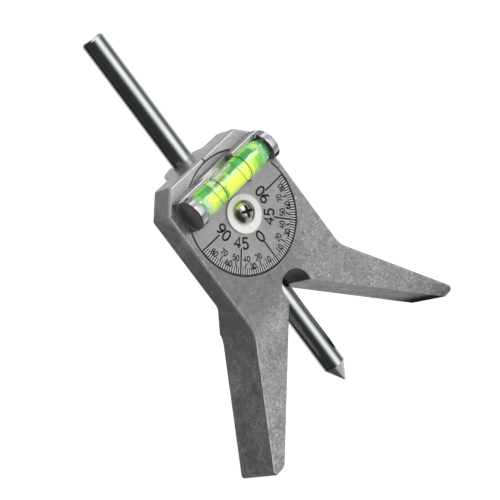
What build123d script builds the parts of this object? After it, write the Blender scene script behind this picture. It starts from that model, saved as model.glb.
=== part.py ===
"""Pipe center finder: a cast Y head, a sliding center punch and a dial with a level vial."""

from build123d import *
from math import radians, sqrt, tan
import os

os.makedirs("parts", exist_ok=True)

# Casting, seen from the front
body_height = 109.6
body_width = 54.2
corner_cut_width = 8.4
corner_cut_height = 8.2
kink_height = 46.8
foot_span = 116.6
foot_width = 6.3
v_half_angle = 45.0

# Casting, in depth: a thin head, deep legs and a boss down the back round the punch
head_thickness = 11.7
body_depth = 23.0
slope_foot_height = 48.6
slope_angle = 45.0
slope_rounding = 4.0
boss_radius = 9.4
boss_root_rounding = 1.5
edge_break = 0.9
foot_rounding = 1.5
foot_inner_rounding = 0.8
kink_rounding = 10.0
corner_rounding = 1.6

# Relief hole at the top of the V
relief_diameter = 13.9
relief_height = 47.1

# Center punch
punch_diameter = 9.525
punch_length = 167.2
punch_tip_height = 2.0
punch_point_length = 7.7
punch_tip_flat = 0.5
punch_top_chamfer = 0.9
punch_depth = 13.6
punch_clearance = 0.05

# Set screw and nylon pad that hold the punch by friction, in the back of the boss
set_screw_diameter = 5.0
set_screw_drop = 11.7
set_screw_length = 3.0
set_screw_chamfer = 0.5
hex_width = 2.5
hex_depth = 1.6
pad_clearance = 0.1

# Dial
dial_diameter = 48.4
dial_height = 83.2
dial_thickness = 3.0
dial_gap = 0.45
dial_seat_clearance = 0.1
dial_rim_chamfer = 0.3
dial_bore_clearance = 0.1
index_groove_width = 0.9
index_groove_depth = 0.45
index_groove_length = 3.2

# Vial and its cradle on the dial
vial_diameter = 10.7
vial_offset = 14.7
vial_stand_off = 6.6
vial_length = 45.7
cradle_width = 13.2
cradle_wall_drop = 0.4
cradle_overhang_gap = 0.4
window_length = 15.8
window_floor = 1.5

# Vial tube, liquid and end caps
tube_wall = 1.25
tube_barrel = 0.25
tube_end_inset = 1.9
plug_length = 3.6
cap_diameter = 12.8
cap_band = 3.1
cap_edge_rounding = 0.4
bubble_length = 11.5
bubble_width = 6.2
bubble_depth = 2.6
bubble_shift = -2.0

# Dial screw, its washers
screw_diameter = 5.0
screw_head_diameter = 9.1
screw_head_height = 2.9
screw_head_edge = 0.9
screw_thread_length = 4.4
recess_span = 5.2
recess_width = 1.3
recess_depth = 2.0
recess_taper = 14.0
washer_diameter = 15.6
washer_bore_clearance = 0.75
washer_drop = 0.65
washer_thickness = 0.9
washer_rounding = 0.2
disc_spring_diameter = 14.0
disc_spring_thickness = 0.4
disc_spring_bore_clearance = 0.2
disc_spring_pocket_depth = 0.9
disc_spring_pocket_clearance = 0.4

# Places that follow from the sizes
front_reach = vial_stand_off + cap_diameter / 2
face_y = (front_reach - body_depth) / 2
back_y = face_y + body_depth
punch_y = face_y + punch_depth
punch_top = punch_tip_height + punch_length
set_screw_height = body_height - set_screw_drop
half_width = body_width / 2
half_span = foot_span / 2
foot_inner = half_span - foot_width
foot_middle = half_span - foot_width / 2
v_apex_height = foot_inner / tan(radians(v_half_angle))
bore_radius = punch_diameter / 2 + punch_clearance
dial_radius = dial_diameter / 2
recess_radius = dial_radius + dial_gap
recess_floor_y = face_y + dial_thickness + dial_seat_clearance
vial_y = face_y - vial_stand_off
vial_z = dial_height + vial_offset
vial_radius = vial_diameter / 2
cap_radius = cap_diameter / 2
half_vial = vial_length / 2
screw_radius = screw_diameter / 2
washer_y = face_y - washer_thickness

dial_axis = Axis((0, 0, dial_height), (0, 1, 0))


def front_plane(y):
    """A plane facing the front at depth y, with X to the right and Z up."""
    return Plane(origin=(0, y, 0), x_dir=(1, 0, 0), z_dir=(0, -1, 0))


# Casting: the outline at full depth, its head thinned from behind, the boss, then the milled V
head_back_y = face_y + head_thickness
slope_fall = tan(radians(slope_angle))
slope_top_height = slope_foot_height + (body_depth - head_thickness) * slope_fall
cut_past_y = back_y + head_thickness
cut_past_height = slope_top_height - (cut_past_y - head_back_y) * slope_fall
boss_root_width = 2 * (boss_radius + 2 * boss_root_rounding)
with BuildPart() as body:
    with BuildSketch(front_plane(back_y)) as outline:
        with BuildLine():
            Polyline(
                (-half_span, 0),
                (-half_width, kink_height),
                (-half_width, body_height - corner_cut_height),
                (-half_width + corner_cut_width, body_height),
                (half_width - corner_cut_width, body_height),
                (half_width, body_height - corner_cut_height),
                (half_width, kink_height),
                (half_span, 0),
                close=True,
            )
        make_face()
        fillet(outline.vertices().filter_by(lambda v: abs(v.Y - kink_height) < 0.01), kink_rounding)
        fillet(outline.vertices().filter_by(lambda v: v.Y > kink_height + corner_cut_height), corner_rounding)
        fillet(outline.vertices().group_by(Axis.Y)[0], foot_rounding)
    extrude(amount=body_depth)
    front_face = body.faces().sort_by(Axis.Y)[0]
    chamfer(front_face.outer_wire().edges(), edge_break)
    with BuildSketch(Plane.YZ) as head_thinning:
        with BuildLine():
            Polyline(
                (head_back_y, body_height),
                (head_back_y, slope_top_height),
                (cut_past_y, cut_past_height),
                (cut_past_y, body_height),
                close=True,
            )
        make_face()
        slope_corner = head_thinning.vertices().group_by(Axis.X)[0].sort_by(Axis.Y)[0]
        fillet(slope_corner, slope_rounding)
    extrude(amount=half_span, both=True, mode=Mode.SUBTRACT)
    with BuildSketch(Plane.XY.offset(relief_height)) as boss_section:
        with Locations((0, punch_y)):
            Circle(boss_radius)
            Rectangle(2 * boss_radius, punch_y - head_back_y, align=(Align.CENTER, Align.MAX))
        with Locations((0, head_back_y)):
            Rectangle(boss_root_width, head_thickness / 2, align=(Align.CENTER, Align.MAX))
        roots = boss_section.vertices().filter_by(
            lambda v: abs(v.Y - head_back_y) < 0.01 and abs(abs(v.X) - boss_radius) < 0.01
        )
        fillet(roots, boss_root_rounding)
    extrude(amount=body_height - relief_height)
    with BuildSketch(front_plane(back_y)) as v_notch:
        with BuildLine():
            Polyline((-foot_inner, 0), (0, v_apex_height), (foot_inner, 0), close=True)
        make_face()
    extrude(amount=body_depth, mode=Mode.SUBTRACT)
    foot_edges = body.edges().filter_by(Axis.Y).filter_by(lambda e: abs(e.center().Z) < 0.01)
    fillet(foot_edges.filter_by(lambda e: abs(e.center().X) < foot_middle), foot_inner_rounding)
    with BuildSketch(front_plane(back_y)) as relief_hole:
        with Locations((0, relief_height)):
            Circle(relief_diameter / 2)
    extrude(amount=body_depth, mode=Mode.SUBTRACT)

    with BuildSketch(front_plane(recess_floor_y)) as dial_recess:
        with Locations((0, dial_height)):
            Circle(recess_radius)
    extrude(amount=recess_floor_y - face_y, mode=Mode.SUBTRACT)
    with BuildSketch(front_plane(recess_floor_y + disc_spring_pocket_depth)) as spring_pocket:
        with Locations((0, dial_height)):
            Circle(disc_spring_diameter / 2 + disc_spring_pocket_clearance)
    extrude(amount=disc_spring_pocket_depth, mode=Mode.SUBTRACT)
    with BuildSketch(front_plane(recess_floor_y + screw_thread_length)) as screw_hole:
        with Locations((0, dial_height)):
            Circle(screw_radius)
    extrude(amount=screw_thread_length, mode=Mode.SUBTRACT)
    with BuildSketch(Plane.XY.offset(relief_height)) as punch_bore:
        with Locations((0, punch_y)):
            Circle(bore_radius)
    extrude(amount=body_height - relief_height, mode=Mode.SUBTRACT)
    with BuildSketch(front_plane(back_y)) as set_screw_hole:
        with Locations((0, set_screw_height)):
            Circle(set_screw_diameter / 2)
    extrude(amount=back_y - punch_y, mode=Mode.SUBTRACT)

    # Index grooves above and below the dial
    lower_groove = dial_height - recess_radius - index_groove_length
    with BuildSketch(Plane.XY.offset(lower_groove)) as index_profile:
        with BuildLine():
            Polyline(
                (-index_groove_width / 2, face_y),
                (0, face_y + index_groove_depth),
                (index_groove_width / 2, face_y),
                close=True,
            )
        make_face()
    extrude(amount=body_height - lower_groove, mode=Mode.SUBTRACT)
body.part.label = "body"
export_step(body.part, "parts/body.step")


# Center punch: a plain ground rod with a cone at the bottom
with BuildPart() as center_punch:
    with BuildSketch(Plane(origin=(0, punch_y, 0), x_dir=(1, 0, 0), z_dir=(0, -1, 0))) as rod_profile:
        with BuildLine():
            Polyline(
                (0, punch_tip_height),
                (punch_tip_flat / 2, punch_tip_height),
                (punch_diameter / 2, punch_tip_height + punch_point_length),
                (punch_diameter / 2, punch_top - punch_top_chamfer),
                (punch_diameter / 2 - punch_top_chamfer, punch_top),
                (0, punch_top),
                close=True,
            )
        make_face()
    revolve(axis=Axis((0, punch_y, 0), (0, 0, 1)))
center_punch.part.label = "center_punch"
export_step(center_punch.part, "parts/center_punch.step")


# Nylon pad against the back of the punch, and the set screw that presses on it
pad_y = punch_y + punch_diameter / 2 + punch_clearance
set_screw_y = punch_y + boss_radius - set_screw_length
with BuildPart() as punch_pad:
    with BuildSketch(front_plane(set_screw_y)) as pad_section:
        with Locations((0, set_screw_height)):
            Circle(set_screw_diameter / 2 - pad_clearance)
    extrude(amount=set_screw_y - pad_y)
punch_pad.part.label = "punch_pad"
export_step(punch_pad.part, "parts/punch_pad.step")

with BuildPart() as punch_set_screw:
    with BuildSketch(front_plane(set_screw_y + set_screw_length)) as set_screw_section:
        with Locations((0, set_screw_height)):
            Circle(set_screw_diameter / 2)
    extrude(amount=set_screw_length)
    chamfer(punch_set_screw.edges().group_by(Axis.Y)[-1], set_screw_chamfer)
    with BuildSketch(front_plane(set_screw_y + set_screw_length)) as hex_socket:
        with Locations((0, set_screw_height)):
            RegularPolygon(hex_width / 2, 6, major_radius=False)
    extrude(amount=hex_depth, mode=Mode.SUBTRACT)
punch_set_screw.part.label = "punch_set_screw"
export_step(punch_set_screw.part, "parts/punch_set_screw.step")


# Dial: a disc sunk flush in the head, with the cradle for the vial standing on it in one piece
cradle_rim_y = vial_y + cradle_wall_drop
cradle_back_y = face_y - cradle_overhang_gap
cone_length = cap_radius - vial_radius
cap_inner_x = half_vial - cap_band - cone_length
with BuildPart() as dial:
    with BuildSketch(front_plane(face_y + dial_thickness)) as disc:
        with Locations((0, dial_height)):
            Circle(dial_radius)
    extrude(amount=dial_thickness)
    chamfer(dial.edges().group_by(Axis.Y)[0], dial_rim_chamfer)
    with BuildSketch(front_plane(cradle_back_y)) as cradle_block:
        with Locations((0, vial_z)):
            Rectangle(vial_length, cradle_width)
    extrude(amount=cradle_back_y - cradle_rim_y)
    with BuildSketch(front_plane(face_y + dial_rim_chamfer)) as cradle_root:
        with Locations((0, dial_height)):
            Circle(dial_radius - dial_rim_chamfer)
        with Locations((0, vial_z)):
            Rectangle(vial_length, cradle_width, mode=Mode.INTERSECT)
    extrude(amount=face_y + dial_rim_chamfer - cradle_back_y)
    with BuildSketch(front_plane(face_y - window_floor)) as window:
        with Locations((0, vial_z)):
            Rectangle(window_length, cradle_width)
    extrude(amount=front_reach, mode=Mode.SUBTRACT)
    with BuildSketch(Plane(origin=(0, vial_y, vial_z), x_dir=(1, 0, 0), z_dir=(0, -1, 0))) as trough:
        with BuildLine():
            Polyline(
                (-half_vial, 0),
                (-half_vial, cap_radius),
                (-half_vial + cap_band, cap_radius),
                (-cap_inner_x, vial_radius),
                (cap_inner_x, vial_radius),
                (half_vial - cap_band, cap_radius),
                (half_vial, cap_radius),
                (half_vial, 0),
                close=True,
            )
        make_face()
    revolve(axis=Axis((0, vial_y, vial_z), (1, 0, 0)), mode=Mode.SUBTRACT)
    with BuildSketch(front_plane(face_y + dial_thickness)) as pivot_bore:
        with Locations((0, dial_height)):
            Circle(screw_radius + dial_bore_clearance)
    extrude(amount=dial_thickness, mode=Mode.SUBTRACT)
dial.part.label = "dial"
export_step(dial.part, "parts/dial.step")


# Vial tube: clear acrylic with a barrel-shaped bore, so that the bubble finds the middle
vial_plane = Plane(origin=(0, vial_y, vial_z), x_dir=(1, 0, 0), z_dir=(0, -1, 0))
vial_axis = Axis((0, vial_y, vial_z), (1, 0, 0))
tube_half = half_vial - tube_end_inset
bore_mid = vial_radius - tube_wall
bore_end = bore_mid - tube_barrel
liquid_half = tube_half - plug_length
with BuildPart() as vial_tube:
    with BuildSketch(vial_plane) as tube_profile:
        with BuildLine():
            Polyline(
                (-liquid_half, bore_end),
                (-tube_half, bore_end),
                (-tube_half, vial_radius),
                (tube_half, vial_radius),
                (tube_half, bore_end),
                (liquid_half, bore_end),
            )
            ThreePointArc((liquid_half, bore_end), (0, bore_mid), (-liquid_half, bore_end))
        make_face()
    revolve(axis=vial_axis)
vial_tube.part.label = "vial_tube"
export_step(vial_tube.part, "parts/vial_tube.step")


# Liquid fills the bore between the plugs, less the bubble at its top
bubble_z = bore_mid - bubble_depth + bubble_width / 2
with BuildPart() as vial_liquid:
    with BuildSketch(vial_plane) as liquid_profile:
        with BuildLine():
            Polyline(
                (-liquid_half, bore_end),
                (-liquid_half, 0),
                (liquid_half, 0),
                (liquid_half, bore_end),
            )
            ThreePointArc((liquid_half, bore_end), (0, bore_mid), (-liquid_half, bore_end))
        make_face()
    revolve(axis=vial_axis)
    bubble_plane = Plane(
        origin=(bubble_shift, vial_y, vial_z + bubble_z), x_dir=(1, 0, 0), z_dir=(0, -1, 0)
    )
    with BuildSketch(bubble_plane) as bubble_profile:
        SlotOverall(bubble_length, bubble_width)
        Rectangle(bubble_length, bubble_width, align=(Align.CENTER, Align.MAX), mode=Mode.SUBTRACT)
    bubble_axis = Axis((bubble_shift, vial_y, vial_z + bubble_z), (1, 0, 0))
    revolve(axis=bubble_axis, mode=Mode.SUBTRACT)
vial_liquid.part.label = "vial_liquid"
export_step(vial_liquid.part, "parts/vial_liquid.step")


def plug(side):
    """A stopper that seals one end of the bore."""
    with BuildPart() as stopper:
        with BuildSketch(Plane(origin=(side * liquid_half, vial_y, vial_z), z_dir=(side, 0, 0))):
            Circle(bore_end)
        extrude(amount=plug_length)
    return stopper.part


def cap(side):
    """A bright ferrule over one end of the tube, with a coned shoulder and a closed end."""
    with BuildPart() as ferrule:
        with BuildSketch(vial_plane):
            with BuildLine():
                Polyline(
                    (side * cap_inner_x, vial_radius),
                    (side * (half_vial - cap_band), cap_radius),
                    (side * half_vial, cap_radius),
                    (side * half_vial, 0),
                    (side * tube_half, 0),
                    (side * tube_half, vial_radius),
                    close=True,
                )
            make_face()
        revolve(axis=vial_axis)
        end = ferrule.edges().group_by(Axis.X)[-1 if side > 0 else 0]
        fillet(end, cap_edge_rounding)
    return ferrule.part


for side_name, side in (("left", -1), ("right", 1)):
    stopper_part = plug(side)
    stopper_part.label = f"vial_plug_{side_name}"
    export_step(stopper_part, f"parts/vial_plug_{side_name}.step")
    ferrule_part = cap(side)
    ferrule_part.label = f"vial_cap_{side_name}"
    export_step(ferrule_part, f"parts/vial_cap_{side_name}.step")


# Dial screw: a cross-recessed round head on a plain shank into the casting
shank_end_y = recess_floor_y + screw_thread_length
head_radius = screw_head_diameter / 2
dome_rise = screw_head_height - screw_head_edge
dome_radius = (head_radius**2 + dome_rise**2) / (2 * dome_rise)
dome_shoulder = sqrt(dome_radius**2 - (head_radius / 2) ** 2)
with BuildPart() as dial_screw:
    with BuildSketch(Plane(origin=(0, 0, dial_height), x_dir=(1, 0, 0), z_dir=(0, 0, -1))) as head:
        with BuildLine():
            Polyline(
                (0, -shank_end_y),
                (screw_radius, -shank_end_y),
                (screw_radius, -washer_y),
                (head_radius, -washer_y),
                (head_radius, -washer_y + screw_head_edge),
            )
            ThreePointArc(
                (head_radius, -washer_y + screw_head_edge),
                (head_radius / 2, -washer_y + screw_head_height - dome_radius + dome_shoulder),
                (0, -washer_y + screw_head_height),
            )
            Line((0, -washer_y + screw_head_height), (0, -shank_end_y))
        make_face()
    revolve(axis=dial_axis)
    head_front = (0, washer_y - screw_head_height, dial_height)
    with BuildSketch(Plane(origin=head_front, x_dir=(1, 0, 0), z_dir=(0, 1, 0))) as cross:
        Rectangle(recess_span, recess_width)
        Rectangle(recess_width, recess_span)
    extrude(amount=recess_depth, taper=recess_taper, mode=Mode.SUBTRACT)
dial_screw.part.label = "dial_screw"
export_step(dial_screw.part, "parts/dial_screw.step")


# Washer under the screw head: its bore is loose, and it hangs low on the screw
with BuildPart() as dial_washer:
    with BuildSketch(front_plane(face_y)) as washer_ring:
        with Locations((0, dial_height - washer_drop)):
            Circle(washer_diameter / 2)
            Circle(screw_radius + washer_bore_clearance, mode=Mode.SUBTRACT)
    extrude(amount=washer_thickness)
    outer_rim = dial_washer.edges().filter_by(GeomType.CIRCLE).sort_by(SortBy.RADIUS)[-2:]
    fillet(outer_rim.sort_by(Axis.Y)[0], washer_rounding)
dial_washer.part.label = "dial_washer"
export_step(dial_washer.part, "parts/dial_washer.step")


# Disc spring behind the dial, which keeps it where it is set
spring_inner = screw_radius + disc_spring_bore_clearance
spring_outer = disc_spring_diameter / 2
pocket_floor_y = recess_floor_y + disc_spring_pocket_depth
dial_back_y = face_y + dial_thickness
with BuildPart() as dial_spring:
    with BuildSketch(Plane(origin=(0, 0, dial_height), x_dir=(1, 0, 0), z_dir=(0, 0, -1))) as cone:
        with BuildLine():
            Polyline(
                (spring_inner, -dial_back_y),
                (spring_inner, -dial_back_y - disc_spring_thickness),
                (spring_outer, -pocket_floor_y),
                (spring_outer, -pocket_floor_y + disc_spring_thickness),
                close=True,
            )
        make_face()
    revolve(axis=dial_axis)
dial_spring.part.label = "dial_spring"
export_step(dial_spring.part, "parts/dial_spring.step")
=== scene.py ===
import math

import bmesh
import bpy
from mathutils import Matrix, Vector


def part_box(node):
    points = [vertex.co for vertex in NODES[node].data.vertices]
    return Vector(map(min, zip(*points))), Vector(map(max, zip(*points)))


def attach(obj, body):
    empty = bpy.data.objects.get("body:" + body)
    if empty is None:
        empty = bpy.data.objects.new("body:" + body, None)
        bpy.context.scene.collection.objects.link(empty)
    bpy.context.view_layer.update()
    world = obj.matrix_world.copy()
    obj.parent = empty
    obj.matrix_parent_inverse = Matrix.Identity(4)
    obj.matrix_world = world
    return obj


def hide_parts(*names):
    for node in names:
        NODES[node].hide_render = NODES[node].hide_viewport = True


bl_info = {
    "name": "Pipe Center Finder",
    "version": (1, 0, 0),
    "blender": (4, 5, 0),
    "location": "3D View > Sidebar > Center Finder",
    "description": "Dresses a pipe center finder: cast head, steel punch, degree dial and level vial",
    "category": "Add Mesh",
}

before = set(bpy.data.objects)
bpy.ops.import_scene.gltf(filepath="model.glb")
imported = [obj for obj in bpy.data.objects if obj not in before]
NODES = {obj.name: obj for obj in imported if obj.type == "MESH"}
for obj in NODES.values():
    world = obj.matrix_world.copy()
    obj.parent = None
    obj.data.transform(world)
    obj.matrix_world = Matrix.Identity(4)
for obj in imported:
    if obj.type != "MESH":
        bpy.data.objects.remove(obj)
MM = 0.001


# Places read from the frame

def middle(node):
    """The middle of a part's box."""
    low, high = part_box(node)
    return (low + high) / 2


def extent(node):
    """The size of a part's box."""
    low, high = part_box(node)
    return high - low


DIAL_RADIUS = extent("dial").x / 2
DIAL_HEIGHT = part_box("dial")[0].z + DIAL_RADIUS
PRINT_RADIUS = DIAL_RADIUS - 0.3 * MM
FACE_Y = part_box("dial_washer")[1].y
VIAL = middle("vial_tube")
VIAL_RADIUS = extent("vial_tube").z / 2
VIAL_HALF = extent("vial_tube").x / 2
PUNCH = middle("center_punch")

# The round relief at the top of the V, in millimetres, which has no box of its own
RELIEF_HEIGHT = 47.1
RELIEF_RADIUS = 6.95


# Mesh making

def finish_mesh(name, bm, material, smooth_angle=30):
    """Turns a bmesh into a scene object at the origin, with closed, outward faces."""
    bmesh.ops.remove_doubles(bm, verts=bm.verts, dist=1e-7)
    bmesh.ops.recalc_face_normals(bm, faces=bm.faces)
    mesh = bpy.data.meshes.new(name)
    bm.to_mesh(mesh)
    bm.free()
    mesh.materials.append(material)
    mesh.shade_smooth()
    mesh.set_sharp_from_angle(angle=math.radians(smooth_angle))
    made = bpy.data.objects.new(name, mesh)
    bpy.context.scene.collection.objects.link(made)
    return made


def copied_mesh(node):
    """A merged copy of a part's mesh, to build on."""
    bm = bmesh.new()
    bm.from_mesh(NODES[node].data)
    bmesh.ops.remove_doubles(bm, verts=bm.verts, dist=2e-6)
    return bm


def turned(bm, profile, origin, axis, steps=96):
    """Adds a turned body from (radius, distance along the axis) pairs; a radius of 0 closes an end."""
    axis = Vector(axis).normalized()
    side = axis.orthogonal().normalized()
    other = axis.cross(side)
    angles = [2 * math.pi * step / steps for step in range(steps)]
    spokes = [side * math.cos(angle) + other * math.sin(angle) for angle in angles]
    rings = []
    for radius, along in profile:
        centre = Vector(origin) + axis * along
        if radius < 1e-9:
            rings.append([bm.verts.new(centre)] * steps)
        else:
            rings.append([bm.verts.new(centre + spoke * radius) for spoke in spokes])
    for first, second in zip(rings, rings[1:]):
        for step in range(steps):
            after = (step + 1) % steps
            corners = dict.fromkeys((first[step], second[step], second[after], first[after]))
            if len(corners) > 2:
                bm.faces.new(list(corners))


def turned_piece(name, profile, origin, axis, material):
    """A smooth turned object by itself; a ring's profile ends where it starts."""
    bm = bmesh.new()
    turned(bm, profile, origin, axis, 128)
    return finish_mesh(name, bm, material)


def rounded(corner, before, after, radius, steps=4):
    """Points that round a profile's corner between its two neighbours."""
    corner = Vector(corner)
    way_in = (Vector(before) - corner).normalized()
    way_out = (Vector(after) - corner).normalized()
    half = way_in.angle(way_out) / 2
    reach = radius / math.tan(half)
    centre = corner + (way_in + way_out).normalized() * radius / math.sin(half)
    start = corner + way_in * reach - centre
    end = corner + way_out * reach - centre
    spokes = [start.lerp(end, step / steps).normalized() for step in range(steps + 1)]
    return [tuple(centre + spoke * radius) for spoke in spokes]


def skin(bm, rings, closed=False):
    """Joins rings of points to a bar, round to its start or with both ends filled."""
    for first, second in zip(rings, rings[1:] + rings[:1] if closed else rings[1:]):
        for corner in range(len(first)):
            after = (corner + 1) % len(first)
            bm.faces.new((first[corner], second[corner], second[after], first[after]))
    if not closed:
        bm.faces.new(rings[0])
        bm.faces.new(rings[-1][::-1])


# Node making

class Nodes:
    """Adds, sets and links the nodes of one tree."""

    def __init__(self, tree):
        self.tree = tree

    def feed(self, socket, value):
        """Links an output to an input, or sets the input."""
        if isinstance(value, bpy.types.NodeSocket):
            self.tree.links.new(value, socket)
        elif socket.type == "RGBA":
            socket.default_value = tuple(value)[:3] + (1.0,)
        else:
            socket.default_value = value

    def put(self, target, **inputs):
        """Feeds a node's inputs by name, with _ for a space and without regard to case."""
        for key, value in inputs.items():
            name = key.replace("_", " ").lower()
            found = [s for s in target.inputs if s.name.lower() == name and s.enabled]
            if not found:
                raise ValueError(f"{target.bl_idname} has no input {key}")
            self.feed(found[0], value)

    def add(self, kind, settings=None, **inputs):
        """Adds a node with its settings and inputs."""
        made = self.tree.nodes.new(kind)
        for key, value in (settings or {}).items():
            setattr(made, key, value)
        self.put(made, **inputs)
        return made

    def axes(self, vector):
        """The x, y and z of a vector."""
        return self.add("ShaderNodeSeparateXYZ", Vector=vector).outputs

    def pair(self, kind, operation, first, second):
        """A node that works on two values."""
        made = self.add(kind, {"operation": operation})
        self.feed(made.inputs[0], first)
        self.feed(made.inputs[1], second)
        return made.outputs

    def math(self, operation, first, second=0.0):
        return self.pair("ShaderNodeMath", operation, first, second)["Value"]

    def vectors(self, operation, first, second):
        return self.pair("ShaderNodeVectorMath", operation, first, second)

    def times(self, first, *others):
        """The product of values."""
        for other in others:
            first = self.math("MULTIPLY", first, other)
        return first

    def most(self, first, *others):
        """The largest of values."""
        for other in others:
            first = self.math("MAXIMUM", first, other)
        return first

    def less(self, first, second):
        return self.math("SUBTRACT", first, second)

    def blend(self, factor, first, second):
        """A mix of two colours."""
        made = self.add("ShaderNodeMix", {"data_type": "RGBA"}, Factor=factor, A=first, B=second)
        return next(s for s in made.outputs if s.enabled)


def dimmed(colour, share):
    """A colour at a share of its strength."""
    return tuple(channel * share for channel in colour[:3])


def neutral(level):
    return (level, level, level)


class Finish(Nodes):
    """A procedural material under construction, its colour laid on in layers."""

    def __init__(self, name):
        self.material = bpy.data.materials.new(name)
        self.material.use_nodes = True
        super().__init__(self.material.node_tree)
        self.place = self.add("ShaderNodeTexCoord").outputs["Object"]
        self.colour = None

    def done(self, **inputs):
        """Feeds the shader and returns the material."""
        self.put(self.tree.nodes["Principled BSDF"], **inputs)
        return self.material

    def cover(self, mask, shade):
        """Lays one shade over the colour so far, through a mask."""
        self.colour = self.blend(mask, self.colour, shade)

    def shades(self, base, *layers):
        """Lays several shares of a base colour, each through its mask."""
        for mask, share in layers:
            self.cover(mask, dimmed(base, share))

    def stretched(self, scale, turn=(0, 0, 0), shift=(0, 0, 0)):
        """Object coordinates, stretched, turned and shifted."""
        made = self.add("ShaderNodeMapping", Vector=self.place, Scale=scale, Rotation=turn, Location=shift)
        return made.outputs["Vector"]

    def noise(self, scale, detail, roughness=0.55, distortion=0.0, place=None):
        """Clouds from 0 to 1."""
        made = self.add("ShaderNodeTexNoise", Vector=place or self.place, Scale=scale, Detail=detail,
                        Roughness=roughness, Distortion=distortion)
        return made.outputs["Fac"]

    def millimetres(self, origin):
        """The x, y and z of each point, in millimetres from an origin."""
        return self.axes(self.stretched((1 / MM,) * 3, shift=tuple(-place / MM for place in origin)))

    def streaks(self, stretch, detail, roughness, turn=(0, 0, 0)):
        """Clouds drawn out to streaks by a scale for each axis."""
        return self.noise(1.0, detail, roughness, place=self.stretched(stretch, turn))

    def distance(self, first, second):
        """How far two offsets at right angles reach."""
        return self.math("SQRT", self.math("ADD", self.times(first, first), self.times(second, second)))

    def spread(self, value, low, high, to_low=0.0, to_high=1.0, smooth=False):
        """Maps low..high of a value to another range, held at its ends."""
        kind = "SMOOTHSTEP" if smooth else "LINEAR"
        made = self.add("ShaderNodeMapRange", {"clamp": True, "interpolation_type": kind}, Value=value,
                        From_Min=low, From_Max=high, To_Min=to_low, To_Max=to_high)
        return made.outputs["Result"]

    def vary(self, pattern, low, high):
        """Takes a number from low to high as a pattern wanders."""
        return self.spread(pattern, 0.3, 0.7, low, high)

    def window(self, value, low, high, soft):
        """1 between low and high, falling softly to 0 outside."""
        rise = self.spread(value, low - soft, low + soft, smooth=True)
        fall = self.spread(value, high - soft, high + soft, 1.0, 0.0, smooth=True)
        return self.times(rise, fall)

    def bump(self, height, depth, strength=1.0, under=None):
        """Surface relief, its depth in millimetres, over the normal under it."""
        made = self.add("ShaderNodeBump", Height=height, Distance=depth * MM, Strength=strength)
        if under is not None:
            self.feed(made.inputs["Normal"], under)
        return made.outputs["Normal"]

    def edges(self, radius, low, high):
        """0 on faces and 1 along edges, with the softened normal that finds them."""
        soft = self.add("ShaderNodeBevel", {"samples": 6}, Radius=radius).outputs["Normal"]
        flat = self.add("ShaderNodeNewGeometry").outputs["Normal"]
        agreement = self.vectors("DOT_PRODUCT", soft, flat)["Value"]
        return self.spread(self.less(1.0, agreement), low, high), soft

    def crevices(self, distance):
        """1 deep in the piece's own corners and holes, 0 on open faces; the mask for painted shade."""
        shade = self.add("ShaderNodeAmbientOcclusion", {"samples": 6, "only_local": True}, Distance=distance)
        return self.spread(shade.outputs["AO"], 0.35, 0.85, 1.0, 0.0)


# Materials

def cast_aluminium(look):
    """Tumbled casting: mottled grey with fine bright nicks and dark pits, its edges worn bright, with
    painted light and shade over it.
    """
    f = Finish("cast_aluminium")
    grey = look.casting_colour
    clouds = f.noise(330, 6, 0.75, distortion=1.0)
    flecks = f.noise(1150, 5, 0.85, distortion=1.0)
    pits = f.add("ShaderNodeTexVoronoi", Vector=f.place, Scale=560).outputs["Distance"]
    pits = f.times(f.spread(pits, 0.03, 0.2, 1, 0), f.spread(f.noise(210, 3), 0.5, 0.6))
    f.colour = f.blend(f.spread(clouds, 0.36, 0.64), dimmed(grey, 0.66), grey)
    casting_skin(f, grey, flecks)
    f.cover(f.times(pits, 0.7), dimmed(grey, 0.35))
    # Painted light on the head's top and painted shade low on its left side
    casting_painted_light(f, grey)
    bright, shaded_bevel, normal = casting_edges(f, look)
    # Darker index grooves, and painted shade in the relief hole and the corners
    f.cover(casting_dark_grooves_and_shade(f), dimmed(grey, 0.12))
    reliefs = ((f.noise(260, 3, 0.5), 0.12, 0.5), (flecks, 0.05, 0.7), (f.noise(3200, 2, 0.6), 0.015, 0.6),
               (pits, -0.08, 0.7))
    for height, depth, strength in reliefs:
        normal = f.bump(height, depth, strength, normal)
    matt, polish = look.casting_roughness, 0.06
    rough = f.vary(clouds, matt + polish, matt - polish)
    return f.done(Base_Color=f.colour, Metallic=f.less(0.95, f.times(f.most(bright, shaded_bevel), 0.6)),
                  Roughness=f.less(rough, f.times(bright, 0.15)), Normal=normal)


def casting_skin(f, grey, flecks):
    """The tumbled skin: clouds, drag lines, mottling, flecks and nicks, plainer on the milled front."""
    facing = f.axes(f.add("ShaderNodeNewGeometry").outputs["True Normal"])[1]
    milled = f.spread(facing, -0.9, -0.98)
    speckled = f.math("ADD", f.times(milled, 0.6), 0.4)
    broad = f.noise(70, 5, 0.6, distortion=0.6)
    mottled = f.noise(150, 6, 0.66, distortion=1.2)
    drag = f.streaks((330, 1500, 900), 6, 0.75, turn=(0.3, 0.5, 0.2))
    nicks = f.streaks((700, 1400, 3600), 3, 0.75, turn=(0.4, 0.9, 0.1))
    f.shades(
        grey,
        (f.spread(broad, 0.42, 0.3, 0, 0.5), 0.6),
        (f.spread(broad, 0.56, 0.68, 0, 0.4), 1.15),
        (f.spread(drag, 0.5, 0.34, 0, 0.6), 0.5),
        (f.spread(mottled, 0.52, 0.36, 0, 0.75), 0.5),
        (f.times(f.spread(mottled, 0.54, 0.66, 0, 0.8), f.spread(milled, 0, 1, 1, 0.4)), 1.3),
        (f.spread(milled, 0, 1, 0.22, 0), 0.2),
        (f.times(f.spread(flecks, 0.54, 0.62, 0, 0.85), speckled), 1.9),
        (f.times(f.spread(flecks, 0.46, 0.38, 0, 0.8), speckled), 0.36),
    )
    bruised = f.spread(f.noise(120, 3), 0.46, 0.58)
    f.cover(f.times(f.spread(nicks, 0.56, 0.61), bruised), (0.85, 0.85, 0.86))


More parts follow.
